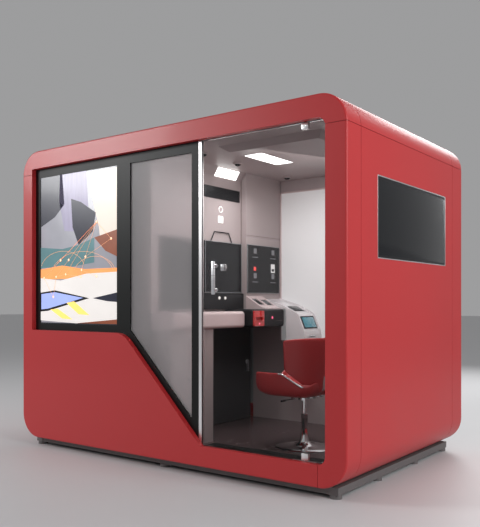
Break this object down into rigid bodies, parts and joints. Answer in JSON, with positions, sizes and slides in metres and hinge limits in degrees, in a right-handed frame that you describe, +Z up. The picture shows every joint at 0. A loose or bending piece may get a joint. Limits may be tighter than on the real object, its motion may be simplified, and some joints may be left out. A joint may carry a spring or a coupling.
{
  "type": "walk-in self-service banking booth",
  "caption": "Rounded steel pod with a glazed front, a pivoting glass door, a wall of teller screens, a cash counter and a swivel chair inside.",
  "frame": {"origin": "on the ground under the middle of the booth", "axes": "+X to the right of somebody who faces the glazed front, +Y into the booth, +Z up"},
  "size_m": [3.01, 1.9, 2.4],
  "materials": {
    "shell_red": "satin enamel",
    "plinth_grey": "matt grey paint",
    "zinc_steel": "satin",
    "bar_black": "satin black powder coat",
    "frosted": "etched",
    "poster": "glossy display",
    "bright_trim": "satin anodised",
    "clear_glass": "polished",
    "floor_dark": "glossy",
    "lining_dark": "matt",
    "panel_white": "satin",
    "wall_grey": "satin laminate",
    "device_black": "satin",
    "screen": "glossy",
    "button_lit": "polished",
    "counter_pale": "satin solid surface",
    "steel_dark": "textured paint",
    "equipment_grey": "textured paint",
    "dispenser_red": "gloss",
    "shutter_grey": "dark red anodised",
    "kiosk_pearl": "pearl",
    "chrome": "polished",
    "chair_red": "satin moulded"
  },
  "bodies": {
    "booth": {"front_top_beam": "shell_red", "front_right_post": "shell_red", "front_lower_panel": "shell_red", "roof_shell": "shell_red", "side_panel_left": "shell_red", "side_panel_right": "shell_red", "rear_top_beam": "shell_red", "rear_frame": "shell_red", "plinth_rails": "plinth_grey", "floor_pan": "plinth_grey", "levelling_feet": "plinth_grey", "lifting_inserts": "zinc_steel", "floor_spring": "zinc_steel", "glazing_frame": "bar_black", "door_frame": "bar_black", "frosted_pane": "frosted", "poster_display": "poster", "floor_deck": "floor_dark", "back_lining": "lining_dark", "desk_frame": "lining_dark", "back_light_panel": "panel_white", "light_panels": "panel_white", "room_linings": "wall_grey", "ceiling_lining": "wall_grey", "terminal_wall": "wall_grey", "pedestal_cabinet": "wall_grey", "ceiling_cameras": "device_black", "display_bezels": "device_black", "control_fascia": "device_black", "service_module": "device_black", "console_readers": "device_black", "kiosk_screens": "device_black", "side_display": "device_black", "display_screens": "screen", "counter_slab": "counter_pale", "console_deck": "counter_pale", "cash_safe": "steel_dark", "cash_cassettes": "equipment_grey", "equipment_rack": "equipment_grey", "rear_wall_panel": "equipment_grey", "dispenser_bezel": "dispenser_red", "kiosk_body": "kiosk_pearl", "chair_base": "chrome"},
    "door": {"door_glass": "clear_glass", "door_stile": "bright_trim", "patch_fittings": "zinc_steel", "door_furniture": "zinc_steel"},
    "thumb_turn": {"lock_thumb_turn": "zinc_steel"},
    "call_key": {"call_button": "button_lit"},
    "help_key": {"help_button": "button_lit"},
    "safe_leaf": {"safe_door": "steel_dark"},
    "safe_grip": {"safe_handle": "zinc_steel"},
    "shutter": {"dispenser_shutter": "shutter_grey"},
    "service_leaf": {"service_door": "equipment_grey"},
    "service_grip": {"service_latch": "zinc_steel"},
    "column": {"chair_column": "chrome"},
    "seat": {"chair_frame": "chrome", "chair_seat": "chair_red", "chair_back": "chair_red"},
    "lever": {"chair_lever": "device_black"}
  },
  "joints": [
    {"name": "door_swing", "type": "hinge", "parent": "booth", "child": "door", "pos_m": [1.198, -0.9, 1.2], "axis": [0, 0, 1], "range_deg": [0, 100], "stiffness_Nm_per_rad": 12},
    {"name": "lock_turn", "type": "hinge", "parent": "door", "child": "thumb_turn", "pos_m": [0.566, -0.87, 1.403], "axis": [0, 1, 0], "range_deg": [0, 90]},
    {"name": "call_press", "type": "slide", "parent": "booth", "child": "call_key", "axis": [-1, 0, 0], "range_m": [0, 0.004], "stiffness_N_per_m": 400},
    {"name": "help_press", "type": "slide", "parent": "booth", "child": "help_key", "axis": [-1, 0, 0], "range_m": [0, 0.004], "stiffness_N_per_m": 400},
    {"name": "safe_swing", "type": "hinge", "parent": "booth", "child": "safe_leaf", "pos_m": [-0.442, 0.24, 0.5], "axis": [0, 0, -1], "range_deg": [0, 95]},
    {"name": "safe_handle_turn", "type": "hinge", "parent": "safe_leaf", "child": "safe_grip", "pos_m": [-0.45, 0.745, 0.62], "axis": [1, 0, 0], "range_deg": [0, 90]},
    {"name": "shutter_lift", "type": "slide", "parent": "booth", "child": "shutter", "axis": [0, 0, 1], "range_m": [0, 0.03]},
    {"name": "service_swing", "type": "hinge", "parent": "booth", "child": "service_leaf", "pos_m": [-1.353, 0.912, 1.2], "axis": [0, 0, 1], "range_deg": [0, 100]},
    {"name": "service_latch_turn", "type": "hinge", "parent": "service_leaf", "child": "service_grip", "pos_m": [-0.53, 0.9, 1.15], "axis": [0, 1, 0], "range_deg": [0, 90]},
    {"name": "chair_height", "type": "slide", "parent": "booth", "child": "column", "axis": [0, 0, 1], "range_m": [-0.05, 0.06]},
    {"name": "chair_swivel", "type": "hinge", "parent": "column", "child": "seat", "pos_m": [0.68, -0.065, 0.46], "axis": [0, 0, 1], "continuous": true},
    {"name": "chair_lever_lift", "type": "hinge", "parent": "seat", "child": "lever", "pos_m": [0.62, -0.128, 0.452], "axis": [-1, 0, 0], "range_deg": [0, 4], "stiffness_Nm_per_rad": 8}
  ]
}
